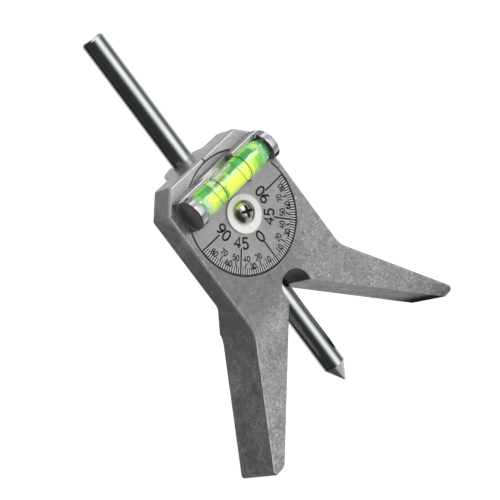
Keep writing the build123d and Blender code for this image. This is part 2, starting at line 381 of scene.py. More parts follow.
def casting_painted_light(f, grey):
    """Painted light on the head's top, and painted shade low on its left side."""
    across, _, height = f.millimetres((0, FACE_Y, 0))
    # Painted light: lighter towards the top; painted shade: darker low on the left
    painted_top_light = f.spread(height, 98, 106, 0, 0.6, smooth=True)
    painted_low_shade = f.times(f.spread(height, 42, 53, smooth=True), f.spread(height, 74, 90, 0.72, 0),
                   f.spread(across, -2, 18, 1, 0, smooth=True))
    f.shades(grey, (painted_top_light, 1.65), (painted_low_shade, 0.4))


def casting_edges(f, look):
    """The front chamfer, its outer part painted in shade and its inner strip lightened by wear and a painted
    highlight, and the worn edges, with the masks of both and the softened normal.
    """
    grey = look.casting_colour
    _, deep, height = f.millimetres((0, FACE_Y, 0))
    worn, soft = f.edges(0.4 * MM, 0.01, 0.1)
    shaded_bevel = f.window(deep, 0.3, 0.88, 0.04)
    corner = f.window(deep, 0.02, 0.34, 0.04)
    patchy = f.spread(f.noise(520, 4, 0.7), 0.36, 0.52, 0.4, 1.0)
    on_legs = f.spread(height, 50, 42, 0, 0.85)
    # Painted shade: the chamfer's outer part darkened like a shaded side face, darkest on the legs
    f.shades(grey, (f.times(shaded_bevel, 0.8), 0.55), (f.times(shaded_bevel, on_legs), 0.16))
    # Worn edges and the chamfer's inner strip lightened: edge wear, and a painted highlight on the strip
    bright = f.times(f.most(corner, f.times(worn, 0.6)), patchy, look.edge_wear_and_glint)
    f.cover(bright, (0.9, 0.9, 0.91))
    return bright, shaded_bevel, soft


def casting_dark_grooves_and_shade(f):
    """Darkens the two index grooves, and paints shade in the relief hole and in the corners."""
    across, deep, height = f.millimetres((0, FACE_Y, 0))
    off_axis = f.math("ABSOLUTE", across)
    above_dial = (DIAL_HEIGHT + DIAL_RADIUS) / MM
    groove_dark = f.times(f.spread(off_axis, 0.25, 0.4, 1, 0), f.window(deep, 0.08, 0.6, 0.05),
                     f.spread(height, above_dial, above_dial + 0.1))
    reach = f.distance(across, f.less(height, RELIEF_HEIGHT))
    # Painted shade inside the relief hole
    hole_shade = f.times(f.spread(reach, RELIEF_RADIUS + 0.02, RELIEF_RADIUS + 0.08, 1, 0),
                      f.spread(deep, 0.02, 0.1), 0.85)
    # Painted shade in the piece's own corners
    corners = f.times(f.crevices(4 * MM), f.spread(off_axis, 0.5, 0.7, 0.2, 1))
    return f.most(groove_dark, hole_shade, corners)


def dial_aluminium(look):
    """Satin aluminium, finely brushed along the vial, with a painted highlight between the scale's marks,
    painted shade at the cradle's ends and in corners, and bright cradle rims, worn and painted as
    highlights.
    """
    f = Finish("dial_aluminium")
    grey = look.dial_colour
    lines = f.streaks((120, 2600, 4200), 4, 0.7)
    flecks = f.noise(1700, 3, 0.75)
    across, deep, up = f.millimetres((0, FACE_Y, DIAL_HEIGHT))
    rim, cradle_half = DIAL_RADIUS / MM, VIAL_HALF / MM
    scale_ring = f.window(f.distance(across, up), rim - 2.7, rim - 0.1, 0.15)
    on_face = f.spread(f.math("ABSOLUTE", deep), 0.1, 0.3, 1, 0)
    # Painted highlight between the scale's marks on the lower half
    scale_highlight = f.times(scale_ring, f.spread(up, 0.2, -0.2), on_face)
    # Painted shade on the cradle's end faces
    outer_end = f.spread(f.math("ABSOLUTE", across), cradle_half - 0.25, cradle_half - 0.1)
    shaded_cradle_ends = f.times(outer_end, f.spread(deep, -0.25, -0.35))
    f.colour = f.blend(f.spread(f.noise(170, 5, 0.65, distortion=0.5), 0.35, 0.65),
                       dimmed(grey, 0.86), dimmed(grey, 1.1))
    f.shades(
        grey,
        (f.vary(lines, 0, 0.5), 1.3),
        (f.spread(flecks, 0.58, 0.7, 0, 0.5), 1.5),
        (f.spread(flecks, 0.42, 0.3, 0, 0.5), 0.5),
        (f.times(scale_highlight, 0.8), 1.9),
        (f.times(shaded_cradle_ends, 0.9), 0.08),
    )
    worn, soft = f.edges(0.22 * MM, 0.02, 0.12)
    # Bright lines along the cradle's wall rims, worn rims with painted highlights, added to the worn edges
    rim_wear_and_highlights = f.most(f.window(up, 20.95, 21.35, 0.04), f.window(up, 20.0, 20.25, 0.04))
    worn = f.most(worn, f.times(rim_wear_and_highlights, f.spread(deep, -5.7, -5.85)))
    f.cover(f.times(worn, 0.9), (0.88, 0.88, 0.89))
    # Painted shade round raised parts such as the washer, the screw and the cradle
    f.cover(f.crevices(3.2 * MM), dimmed(grey, 0.12))
    return f.done(Base_Color=f.colour, Metallic=f.less(0.96, f.times(f.most(worn, shaded_cradle_ends), 0.5)),
                  Roughness=f.less(f.vary(lines, 0.36, 0.46), f.times(worn, 0.18)),
                  Normal=f.bump(lines, 0.02, 0.6, soft))


def polished_steel(name, colour, roughness=0.1, grain=(60, 60, 9000), depth=0.004):
    """Ground and polished steel with faint grinding lines, their depth in millimetres."""
    f = Finish(name)
    smears = f.noise(70, 4, 0.6)
    tone = f.blend(f.vary(smears, 0, 1), dimmed(colour, 0.92), dimmed(colour, 1.06))
    return f.done(Base_Color=tone, Metallic=1.0, Roughness=f.vary(smears, roughness * 0.8, roughness * 1.3),
                  Normal=f.bump(f.streaks(grain, 3, 0.6), depth, 0.4))


def satin_zinc(look):
    """White satin plating, almost evenly bright."""
    f = Finish("satin_zinc")
    grain = f.noise(2400, 3, 0.6)
    clouds = f.vary(f.noise(420, 3, 0.5), 0, 1)
    tone = f.blend(clouds, dimmed(look.washer_colour, 0.9), look.washer_colour)
    return f.done(Base_Color=tone, Metallic=0.5, Roughness=f.vary(grain, 0.28, 0.4),
                  Normal=f.bump(grain, 0.01, 0.5))


def black_ink(look):
    """Black filled marks, a little worn."""
    f = Finish("black_ink")
    wear = f.noise(1800, 3, 0.6)
    tone = f.blend(f.spread(wear, 0.66, 0.85), look.ink_colour, neutral(0.05))
    return f.done(Base_Color=tone, Roughness=f.vary(wear, 0.45, 0.7),
                  Normal=f.bump(wear, 0.008, 0.5))


def moulded(name, colour, roughness, metallic=0.0):
    """A small moulded or blackened part with a fine grain."""
    f = Finish(name)
    grain = f.noise(1400, 3, 0.6)
    tone = f.blend(f.vary(grain, 0, 1), dimmed(colour, 0.88), dimmed(colour, 1.1))
    return f.done(Base_Color=tone, Metallic=metallic, Normal=f.bump(grain, 0.01, 0.5),
                  Roughness=f.vary(grain, roughness * 0.9, roughness * 1.1))


def clear_acrylic(look):
    """Clear, polished acrylic with a breath of green."""
    f = Finish("clear_acrylic")
    swirl = f.noise(90, 2, 0.5)
    tint = f.blend(f.vary(swirl, 0, 1), look.acrylic_colour, dimmed(look.acrylic_colour, 0.97))
    return f.done(Base_Color=tint, Roughness=f.vary(swirl, 0.01, 0.04), Transmission_Weight=1.0, IOR=1.49)


# Painted light, shade and reflections in the dyed liquid, in patches: from and to along it in millimetres
# from its middle, from and to in degrees round it from the front, the shade and its strength
LIQUID_LIGHT_PATCHES = (
    (-15.2, 9.6, -95, 12, "yellow", 1.0),
    (-14.0, 18.5, 9, 27, "pale", 0.85),
    (-16.2, 15.5, 27, 78, "green", 0.95),
    (-12.7, -10.2, 30, 60, "deep", 0.8),
    (-0.9, 4.4, 30, 60, "deep", 0.6),
    (8.0, 13.2, 30, 62, "deep", 0.75),
    (-10.2, -8.6, 20, 80, "pale", 0.6),
    (-17.8, -15.0, -95, 24, "clear", 0.85),
    (-17.8, -16.2, 24, 80, "olive", 0.6),
    (-13.2, -7.6, -2, 8, "fresh", 0.6),
    (-13.0, -5.3, -95, -32, "fresh", 0.8),
    (-7.4, -5.3, -60, 6, "green", 0.6),
    (9.6, 15.0, -95, 7, "fresh", 0.75),
    (11.8, 19.0, -60, 6, "green", 0.45),
    (14.8, 19.0, -95, 34, "mint", 0.8),
    (-9.0, -2.6, 29, 50, "olive", 0.85),
    (-8.8, -1.4, 50, 95, "clear", 0.95),
    (-2.4, -0.8, 29, 66, "fresh", 0.6),
    (-20.0, -17.0, -50, 50, "mint", 0.9),
    (13.6, 17.0, 34, 84, "pale", 0.6),
    (-20.0, 20.0, 84, 140, "olive", 0.45),
)


def vial_liquid(look):
    """Dyed liquid, its colours painted as the light, shade and reflections seen through the round tube:
    yellow below, green above, pale at the ends.
    """
    f = Finish("vial_liquid")
    shades = {
        "green": look.liquid_green, "deep": dimmed(look.liquid_green, 0.6), "yellow": look.liquid_yellow,
        "pale": look.liquid_pale, "clear": look.bubble_colour, "olive": (0.26, 0.28, 0.07),
        "mint": (0.35, 0.72, 0.4), "fresh": (0.42, 0.78, 0.1),
    }
    line_place, back, up = f.millimetres(VIAL)
    line_angle = f.times(f.math("ARCTAN2", up, f.times(back, -1.0)), math.degrees(1))
    wander = f.vary(f.streaks((260, 200, 260), 3, 0.6), -1.0, 1.0)
    along = f.math("ADD", line_place, f.times(wander, 0.5))
    around = f.math("ADD", line_angle, f.times(wander, 5.0))
    f.colour = shades["fresh"]
    for left, right, low, high, shade, strength in LIQUID_LIGHT_PATCHES:
        mask = f.times(f.window(along, left, right, 0.45), f.window(around, low, high, 4.0), strength)
        f.cover(mask, shades[shade])
    # Painted highlights and shade drawn out along the tube in streaks
    streaks = f.streaks((1500, 120, 120), 3, 0.7)
    f.cover(f.spread(streaks, 0.56, 0.7, 0, 0.35), dimmed(look.liquid_pale, 1.1))
    f.cover(f.spread(streaks, 0.44, 0.3, 0, 0.3), shades["deep"])
    # Painted images of the far side of the two black lines, bent by the round tube
    rise = f.math("DIVIDE", f.less(line_angle, 20.0), 80.0)
    bend = f.times(rise, rise, 1.3)
    for far_line in (-11.0, 3.3):
        off = f.math("ABSOLUTE", f.less(line_place, f.math("ADD", bend, far_line)))
        f.cover(f.spread(off, 0.1, 0.32, 0.75, 0), (0.03, 0.08, 0.01))
    # The glow is painted light, partly the dye's own fluorescence
    return f.done(Base_Color=f.colour, Roughness=0.12, IOR=1.33, Emission_Color=f.colour,
                  Emission_Strength=look.liquid_glow)


def wear_material(node, material):
    """Gives a part's own mesh a material."""
    mesh = NODES[node].data
    mesh.materials.clear()
    mesh.materials.append(material)


# Scale marks by geometry nodes

def marks_tree():
    """Radial marks on the dial, one for each step of angle, laid as thin raised bars."""
    tree = bpy.data.node_groups.new("radial_marks", "GeometryNodeTree")
    kinds = {"Count": "Int", "Centre": "Vector", "Ink": "Material"}
    for name in ("Count", "First Angle", "Step Angle", "Inner Radius", "Outer Radius", "Width", "Thickness",
                 "Centre", "Ink"):
        kind = kinds.get(name, "Float")
        tree.interface.new_socket(name=name, in_out="INPUT", socket_type=f"NodeSocket{kind}")
    tree.interface.new_socket(name="Geometry", in_out="OUTPUT", socket_type="NodeSocketGeometry")
    g = Nodes(tree)
    given = g.add("NodeGroupInput").outputs
    inner, outer = given["Inner Radius"], given["Outer Radius"]

    def vector(x, y, z):
        return g.add("ShaderNodeCombineXYZ", X=x, Y=y, Z=z).outputs[0]

    index = g.add("GeometryNodeInputIndex").outputs[0]
    angle = g.math("ADD", given["First Angle"], g.times(index, given["Step Angle"]))
    reach = g.times(g.math("ADD", inner, outer), 0.5)
    spot = vector(g.times(reach, g.math("SINE", angle)), 0.0,
                  g.times(reach, g.times(g.math("COSINE", angle), -1.0)))
    spot = g.vectors("ADD", spot, given["Centre"])["Vector"]
    points = g.add("GeometryNodeMeshLine", Count=given["Count"]).outputs["Mesh"]
    placed = g.add("GeometryNodeSetPosition", Geometry=points, Position=spot).outputs["Geometry"]
    size = vector(given["Width"], given["Thickness"], g.less(outer, inner))
    bar = g.add("GeometryNodeMeshCube", Size=size).outputs["Mesh"]
    turn = g.add("FunctionNodeEulerToRotation", Euler=vector(0.0, g.times(angle, -1.0), 0.0)).outputs[0]
    bars = g.add("GeometryNodeInstanceOnPoints", Points=placed, Instance=bar, Rotation=turn)
    real = g.add("GeometryNodeRealizeInstances", Geometry=bars.outputs["Instances"]).outputs["Geometry"]
    inked = g.add("GeometryNodeSetMaterial", Geometry=real, Material=given["Ink"]).outputs["Geometry"]
    g.add("NodeGroupOutput", Geometry=inked)
    return tree


def radial_marks(tree, **values):
    """Runs the marks tree once and returns its result as a plain mesh."""
    holder = bpy.data.objects.new("marks", bpy.data.meshes.new("marks"))
    bpy.context.scene.collection.objects.link(holder)
    modifier = holder.modifiers.new("marks", "NODES")
    modifier.node_group = tree
    sockets = {s.name: s.identifier for s in tree.interface.items_tree if s.in_out == "INPUT"}
    for key, value in values.items():
        modifier[sockets[key.replace("_", " ")]] = value
    graph = bpy.context.evaluated_depsgraph_get()
    mesh = bpy.data.meshes.new_from_object(holder.evaluated_get(graph))
    bpy.data.objects.remove(holder)
    return mesh


# Numerals and lines on the dial

def on_dial(angle, radius):
    """A point on the dial's face; the angle is from straight down, towards the right."""
    return Vector((radius * math.sin(angle), FACE_Y, DIAL_HEIGHT - radius * math.cos(angle)))


def arc(x, y, wide, tall, first, last, steps=12):
    """Points on part of an ellipse; angles in degrees from the right, anticlockwise."""
    angles = [math.radians(first + (last - first) * step / steps) for step in range(steps + 1)]
    return [(x + wide * math.cos(angle), y + tall * math.sin(angle)) for angle in angles]


# The strokes of each numeral, in a box 1 high and 0.6 wide about its middle
SIX = arc(0.0, -0.22, 0.3, 0.28, -180, 180, 16) + arc(0.28, -0.2, 0.58, 0.72, 176, 108, 8)
STROKES = {
    "0": [arc(0, 0, 0.3, 0.5, 0, 360, 24)],
    "1": [[(-0.16, 0.28), (0, 0.5), (0, -0.5)]],
    "2": [arc(0, 0.22, 0.28, 0.28, 165, -35, 12) + [(-0.3, -0.5), (0.3, -0.5)]],
    "3": [arc(0, 0.24, 0.25, 0.26, 150, -80, 12), arc(0, -0.22, 0.29, 0.28, 85, -150, 12)],
    "4": [[(0.12, -0.5), (0.12, 0.5), (-0.34, -0.2), (0.32, -0.2)]],
    "5": [[(0.27, 0.5), (-0.2, 0.5), (-0.24, 0.03)] + arc(0, -0.19, 0.29, 0.31, 125, -150, 14)],
    "6": [SIX],
    "7": [[(-0.28, 0.5), (0.28, 0.5), (-0.08, -0.5)]],
    "8": [arc(0, 0.25, 0.24, 0.25, -90, 270, 18), arc(0, -0.24, 0.29, 0.26, 90, 450, 18)],
    "9": [[(-x, -y) for x, y in SIX]],
}
STROKE_BOX = 0.6

# Large numerals: degrees from the zero, and half the degrees between the two digits' middles
LARGE_NUMERALS = (("45", 45.0, 7.8), ("90", 88.0, 8.2))
# Small numerals: degrees from the zero, and millimetres from the dial's centre
SMALL_NUMERALS = (("10", 10, 20.6), ("20", 20, 17.9), ("30", 30, 20.8), ("40", 36.9, 17.9),
                  ("50", 52.5, 17.9), ("60", 60, 20.7), ("70", 70, 17.9), ("80", 80, 20.6))


def add_digit(bm, character, angle, radius, height, width, weight, thickness, tilt=0.0):
    """Adds one engraved character of single strokes, its top towards the dial's centre."""
    turn = angle + tilt
    right = Vector((math.cos(turn), 0, math.sin(turn)))
    up = Vector((-math.sin(turn), 0, math.cos(turn)))
    spot = on_dial(angle, radius)
    for stroke in STROKES[character]:
        points = [spot + right * x * width / STROKE_BOX + up * y * height for x, y in stroke]
        add_strip(bm, points, weight, thickness)


def add_strip(bm, points, width, thickness):
    """Adds a thin raised line through points on the dial's face, mitred at its bends."""
    half = thickness / 2
    out = Vector((0, 1, 0))
    closed = (points[0] - points[-1]).length < 1e-7
    if closed:
        points = points[:-1]
    afters = points[1:] + points[:1] if closed else points[1:]
    ways = [(after - point).normalized() for point, after in zip(points, afters)]
    sections = []
    for number, point in enumerate(points):
        way_in = ways[number - 1] if closed or number else ways[0]
        way_out = ways[min(number, len(ways) - 1)]
        along = (way_in + way_out).normalized()
        mitre = min(1 / max(along.dot(way_in), 0.5), 1.6)
        side = along.cross(out) * width / 2 * mitre
        sections.append([bm.verts.new(point + side * a + out * half * b)
                         for a, b in ((-1, -1), (1, -1), (1, 1), (-1, 1))])
    skin(bm, sections, closed)


def add_rim_shade_band(bm, thin, thick, steps=120):
    """Adds a black band round the lower half of the dial's bevelled rim, thicker towards its right: painted
    shade of the gap round the dial.
    """
    over, under, lip = 0.012 * MM, 0.01 * MM, 0.03 * MM
    rings = []
    for step in range(steps + 1):
        angle = math.pi * (step / steps - 0.5)
        width = thin + (thick - thin) * (1 + math.sin(angle)) / 2
        start, end, slope = PRINT_RADIUS - width * 0.4, PRINT_RADIUS + width * 0.7, width * 0.7
        profile = ((start, -over), (PRINT_RADIUS + under, -over), (end, slope - over),
                   (end - lip, slope + 2 * under), (PRINT_RADIUS - 2 * under, under), (start, under))
        rings.append([bm.verts.new(on_dial(angle, radius) + Vector((0, depth, 0)))
                      for radius, depth in profile])
    skin(bm, rings)


# Sizes and colours that a user would change

def length(name, description, default, least=0.05):
    """A length, its default and least value in millimetres."""
    return bpy.props.FloatProperty(name=name, description=description, default=default * MM,
                                   min=least * MM, subtype="DISTANCE", unit="LENGTH")


def share(name, description, default, least=0.0, most=1.0):
    """A share of a whole."""
    return bpy.props.FloatProperty(name=name, description=description, default=default,
                                   min=least, max=most, subtype="FACTOR")


def colour(name, description, default):
    """A colour."""
    return bpy.props.FloatVectorProperty(name=name, description=description, default=default,
                                         size=3, min=0.0, max=1.0, subtype="COLOR")


class FinderSizes(bpy.types.PropertyGroup):
    """Sizes of the marks and small details."""

    tick_length: length("Tick Length", "Length of each mark", 2.6, 0.2)
    tick_width: length("Tick Width", "Width of each mark", 0.5)
    tick_count: bpy.props.IntProperty(
        name="Tick Count", description="Marks on the half circle", default=73, min=3)
    line_width: length("Line Width", "Width of the long lines at 0, 45 and 90", 0.62)
    line_start: length("Line Start", "Where the long lines start, from the dial's centre", 13.9, 5)
    large_numeral: length("Large Numeral", "Height of the numerals 0, 45 and 90", 4.2, 1)
    small_numeral: length("Small Numeral", "Height of the other numerals", 2.2, 0.5)
    large_stroke: length("Large Stroke", "Stroke width of the large numerals", 0.8)
    small_stroke: length("Small Stroke", "Stroke width of the small numerals", 0.46)
    print_thickness: length("Print Thickness", "How thick the ink lies", 0.03, 0.005)
    ring_spacing: length("Ring Spacing", "Distance between the vial's two black lines", 14.5, 2)
    ring_width: length("Ring Width", "Width of the vial's black lines", 0.4)
    floor_size: length("Floor Size", "Side of the square floor", 6000, 500)


class FinderLook(bpy.types.PropertyGroup):
    """Colours and finish of each material."""

    casting_colour: colour("Casting", "Tumbled aluminium of the head", (0.43, 0.43, 0.435))
    dial_colour: colour("Dial", "Brushed aluminium of the dial", (0.45, 0.445, 0.45))
    steel_colour: colour("Punch", "Polished steel of the punch", (0.74, 0.775, 0.775))
    chrome_colour: colour("Chrome", "Plating of the vial's caps", (0.72, 0.71, 0.74))
    nickel_colour: colour("Screw", "Nickel plating of the dial screw", (0.72, 0.7, 0.64))
    washer_colour: colour("Washer", "White satin plating of the washer", (0.84, 0.84, 0.8))
    ink_colour: colour("Ink", "Black of the marks and numerals", (0.006, 0.006, 0.007))
    acrylic_colour: colour("Acrylic", "Clear tube of the vial", (0.94, 1.0, 0.94))
    liquid_green: colour("Liquid Green", "Liquid in shade", (0.04, 0.4, 0.07))
    liquid_yellow: colour("Liquid Yellow", "Liquid where light comes through", (0.86, 0.95, 0.12))
    liquid_pale: colour("Liquid Pale", "Pale streaks in the liquid", (0.68, 0.88, 0.42))
    bubble_colour: colour("Bubble", "Air bubble in the vial", (0.66, 0.68, 0.55))
    # Scales both the edge wear and the painted highlight on the front chamfer's inner strip
    edge_wear_and_glint: share("Edge Wear", "How bright the casting's edges are worn", 0.75)
    casting_roughness: share("Casting Roughness", "How matt the casting is", 0.46, 0.1, 0.9)
    liquid_glow: share("Liquid Glow", "How strongly the liquid glows", 0.35)


# One operator for each piece or group of pieces

class FINDER_OT_head(bpy.types.Operator):
    """Finishes the cast head, its nylon pad and its set screw"""

    bl_idname = "finder.head"
    bl_label = "Cast Head"

    def execute(self, context):
        wear_material("body", cast_aluminium(context.scene.finder_look))
        wear_material("punch_pad", moulded("nylon", (0.8, 0.79, 0.72), 0.5))
        wear_material("punch_set_screw", moulded("black_steel", (0.05, 0.05, 0.055), 0.4, 0.8))
        return {"FINISHED"}


class FINDER_OT_punch(bpy.types.Operator):
    """Turns the center punch with its softened edges and polishes it"""

    bl_idname = "finder.punch"
    bl_label = "Center Punch"

    def execute(self, context):
        look = context.scene.finder_look
        low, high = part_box("center_punch")
        radius = extent("center_punch").x / 2
        point_length, chamfer, blunt = 7.7 * MM, 0.9 * MM, 0.25 * MM
        tip, point = (blunt, low.z), (radius, low.z + point_length)
        shoulder, top = (radius, high.z - chamfer), (radius - chamfer, high.z)
        profile = [(0, low.z), tip]
        profile += rounded(point, tip, shoulder, 0.25 * MM)
        profile += rounded(shoulder, point, top, 0.3 * MM)
        profile += rounded(top, shoulder, (0, high.z), 0.2 * MM)
        profile += [(0, high.z)]
        steel = polished_steel("punch_steel", look.steel_colour, 0.09)
        rod = turned_piece("punch_rod", profile, (PUNCH.x, PUNCH.y, 0), (0, 0, 1), steel)
        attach(rod, "punch")
        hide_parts("center_punch")
        return {"FINISHED"}


class FINDER_OT_dial(bpy.types.Operator):
    """Brushes the dial and prints its degree scale"""

    bl_idname = "finder.dial"
    bl_label = "Degree Dial"

    def execute(self, context):
        look, sizes = context.scene.finder_look, context.scene.finder_sizes
        wear_material("dial", dial_aluminium(look))
        ink = black_ink(look)
        tree = marks_tree()
        bm = bmesh.new()
        tick_step = math.pi / (sizes.tick_count - 1)
        runs = (
            (sizes.tick_count, tick_step, PRINT_RADIUS - sizes.tick_length, sizes.tick_width),
            (5, math.radians(45), sizes.line_start, sizes.line_width),
        )
        for count, step, inner, width in runs:
            mesh = radial_marks(
                tree, Count=count, First_Angle=-math.pi / 2, Step_Angle=step, Inner_Radius=inner,
                Outer_Radius=PRINT_RADIUS, Width=width, Thickness=sizes.print_thickness,
                Centre=(0.0, FACE_Y, DIAL_HEIGHT), Ink=ink)
            bm.from_mesh(mesh)
            bpy.data.meshes.remove(mesh)
        self.large_numerals(bm, sizes)
        for side in (-1, 1):
            self.small_numerals(bm, sizes, side)
            self.leaders(bm, sizes, side)
        # Painted shade of the gap round the dial, in the marks' black
        add_rim_shade_band(bm, 0.2 * MM, 0.38 * MM)
        scale = finish_mesh("degree_scale", bm, ink)
        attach(scale, "dial")
        return {"FINISHED"}

    def large_numerals(self, bm, sizes):
        """0, and 45 and 90 on either side of it."""
        print_of = (sizes.large_numeral, 2.5 * MM, sizes.large_stroke, sizes.print_thickness)
        add_digit(bm, "0", 0, 11.6 * MM, *print_of)
        for side in (-1, 1):
            for text, place, apart in LARGE_NUMERALS:
                for character, half in zip(text, (-1, 1)):
                    turn = half * math.radians(apart)
                    angle = side * math.radians(place) + turn
                    add_digit(bm, character, angle, 11.9 * MM, *print_of, tilt=-turn * 0.5)

    def small_numerals(self, bm, sizes, side):
        """One for each ten degrees between, alternately further in and out."""
        half_gap, narrow, wide = 0.78, 0.9 * MM, 1.15 * MM
        for text, place, radius in SMALL_NUMERALS:
            for character, half in zip(text, (-1, 1)):
                turn = half * half_gap / radius
                width = narrow if character == "1" else wide
                add_digit(bm, character, side * math.radians(place) + turn, radius * MM, sizes.small_numeral,
                          width, sizes.small_stroke, sizes.print_thickness, tilt=-turn)

    def leaders(self, bm, sizes, side):
        """Lines from the marks to the numerals further in: straight at 20 and 70, bent at 40 and 50."""
        for place, bent in ((20, None), (70, None), (40, 37.0), (50, 52.6)):
            angle = side * math.radians(place)
            points = [on_dial(angle, 19.3 * MM)]
            if bent:
                points = [on_dial(side * math.radians(bent), 19.4 * MM), on_dial(angle, 21.0 * MM)]
            add_strip(bm, points + [on_dial(angle, PRINT_RADIUS)], sizes.tick_width, sizes.print_thickness)


class FINDER_OT_vial(bpy.types.Operator):
    """Makes the level vial: clear tube, liquid, bubble, black lines, plugs and plated caps"""

    bl_idname = "finder.vial"
    bl_label = "Level Vial"

    def execute(self, context):
        look, sizes = context.scene.finder_look, context.scene.finder_sizes
        self.tube(look)
        self.liquid(look)
        self.lines(sizes)
        chrome = polished_steel("chrome", look.chrome_colour, 0.06, (9000, 60, 60), 0.002)
        # The caps' outer ends: a darker copy of the chrome, painted shade
        shaded_chrome = dimmed(look.chrome_colour, 0.4)
        shaded_end = polished_steel("chrome_end", shaded_chrome, 0.4, (60, 900, 900), 0.01)
        for side, name in ((-1, "left"), (1, "right")):
            self.cap(side, name, chrome, shaded_end)
        # The two plugs are one green plastic: the left a lit copy, the right a shaded copy, painted light
        # and shade
        wear_material("vial_plug_left", moulded("plug_plastic_lit", (0.24, 0.78, 0.42), 0.45))
        wear_material("vial_plug_right", moulded("plug_plastic_shaded", (0.05, 0.5, 0.13), 0.45))
        return {"FINISHED"}

    def tube(self, look):
        """The clear tube, its bore widest in the middle."""
        bore = extent("vial_liquid").z / 2
        end_bore = extent("vial_plug_left").z / 2
        liquid_half = extent("vial_liquid").x / 2
        edge = 0.15 * MM
        rim, end = VIAL_RADIUS - edge, VIAL_HALF - edge
        profile = [(end_bore, -VIAL_HALF), (rim, -VIAL_HALF), (VIAL_RADIUS, -end),
                   (VIAL_RADIUS, end), (rim, VIAL_HALF), (end_bore, VIAL_HALF)]
        steps = 24
        for step in range(steps + 1):
            place = 1 - 2 * step / steps
            profile.append((end_bore + (bore - end_bore) * (1 - place * place), place * liquid_half))
        profile.append(profile[0])
        tube = turned_piece("vial_sleeve", profile, VIAL, (1, 0, 0), clear_acrylic(look))
        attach(tube, "dial")
        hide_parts("vial_tube")

    def liquid(self, look):
        """The liquid round its bubble, pressed into the tube's wall so that no gap shows."""
        bm = copied_mesh("vial_liquid")
        press = 0.05 * MM
        wall = extent("vial_plug_left").z / 2 - 0.02 * MM
        for vertex in bm.verts:
            radial = Vector((0, vertex.co.y - VIAL.y, vertex.co.z - VIAL.z))
            if radial.length > wall:
                vertex.co += radial.normalized() * press
        liquid = finish_mesh("vial_filling", bm, vial_liquid(look), 40)
        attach(liquid, "dial")
        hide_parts("vial_liquid")

    def lines(self, sizes):
        """The two black lines round the tube, between which the bubble comes to rest."""
        bm = bmesh.new()
        half = sizes.ring_width / 2
        inner, outer = VIAL_RADIUS - 0.03 * MM, VIAL_RADIUS + 0.012 * MM
        for place in (-sizes.ring_spacing / 2, sizes.ring_spacing / 2):
            low, high = place - half, place + half
            corners = [(inner, low), (outer, low), (outer, high), (inner, high), (inner, low)]
            turned(bm, corners, VIAL, (1, 0, 0))
        rings = finish_mesh("vial_lines", bm, bpy.data.materials["black_ink"])
        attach(rings, "dial")

    def cap(self, side, name, chrome, shaded_end):
        """A plated cap, its outer end turned and painted darker than its band as shade."""
        low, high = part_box(f"vial_cap_{name}")
        radius = (high.z - low.z) / 2
        start, reach = sorted(abs(x - VIAL.x) for x in (low.x, high.x))
        play = 0.02 * MM
        bore = VIAL_RADIUS + play
        cone_foot, cone_top = (bore, start), (radius, start + radius - VIAL_RADIUS)
        end_corner, end_middle = (radius, reach), (0, reach)
        profile = [(0, VIAL_HALF + play), (bore, VIAL_HALF + play), cone_foot]
        profile += rounded(cone_top, cone_foot, end_corner, 0.25 * MM)
        profile += rounded(end_corner, cone_top, end_middle, 0.4 * MM, 6)
        profile += [(radius * 0.6, reach), end_middle]
        cap = turned_piece(f"vial_ferrule_{name}", profile, VIAL, (side, 0, 0), chrome)
        cap.data.materials.append(shaded_end)
        for face in cap.data.polygons:
            if face.normal.x * side > 0.9 and abs(face.center.x - VIAL.x) > reach - 0.2 * MM:
                face.material_index = 1
        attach(cap, "dial")
        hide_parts(f"vial_cap_{name}")


class FINDER_OT_fixing(bpy.types.Operator):
    """Finishes the dial screw, the loose washer and the disc spring behind the dial"""

    bl_idname = "finder.fixing"
    bl_label = "Screw and Washer"

    def execute(self, context):
        look = context.scene.finder_look
        self.screw(look)
        self.washer(look)
        wear_material("dial_spring", moulded("spring_steel", (0.3, 0.3, 0.31), 0.35, 0.9))
        return {"FINISHED"}

    def washer(self, look):
        """The white washer, loose on the screw's shank."""
        mid, size = middle("dial_washer"), extent("dial_washer")
        outer, thick, bore = size.x / 2, size.y, 3.25 * MM
        profile = [(bore, 0), (outer - 0.05 * MM, 0)]
        profile += rounded((outer, thick), (outer, 0), (bore, thick), 0.22 * MM)
        profile += rounded((bore, thick), (outer, thick), (bore, 0), 0.1 * MM)
        profile += [(bore, 0)]
        back = (mid.x, FACE_Y, mid.z)
        washer = turned_piece("dial_washer_plate", profile, back, (0, -1, 0), satin_zinc(look))
        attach(washer, "dial")
        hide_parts("dial_washer")

    def screw(self, look):
        """The screw as it was last tightened, its cross turned, its recess painted dark as shade."""
        bm = copied_mesh("dial_screw")
        tightened = Matrix.Rotation(math.radians(20), 3, "Y")
        axis = Vector((0, 0, DIAL_HEIGHT))
        for vertex in bm.verts:
            vertex.co = tightened @ (vertex.co - axis) + axis
        nickel = polished_steel("screw_steel", look.nickel_colour, 0.14, (3000, 3000, 3000))
        screw = finish_mesh("dial_screw_bright", bm, nickel)
        # Painted shade in the cross recess
        screw.data.materials.append(moulded("recess_shade", (0.02, 0.018, 0.016), 0.6))
        front, head_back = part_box("dial_screw")[0].y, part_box("dial_washer")[0].y
        recess_radius, skin_depth, wall_depth = 3.0 * MM, 0.1 * MM, 1.5 * MM
        for face in screw.data.polygons:
            reach = math.hypot(face.center.x, face.center.z - DIAL_HEIGHT)
            inside = reach < recess_radius and front + skin_depth < face.center.y < head_back
            if inside and (abs(face.normal.y) < 0.5 or face.center.y > front + wall_depth):
                face.material_index = 1
        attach(screw, "head")
        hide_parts("dial_screw")


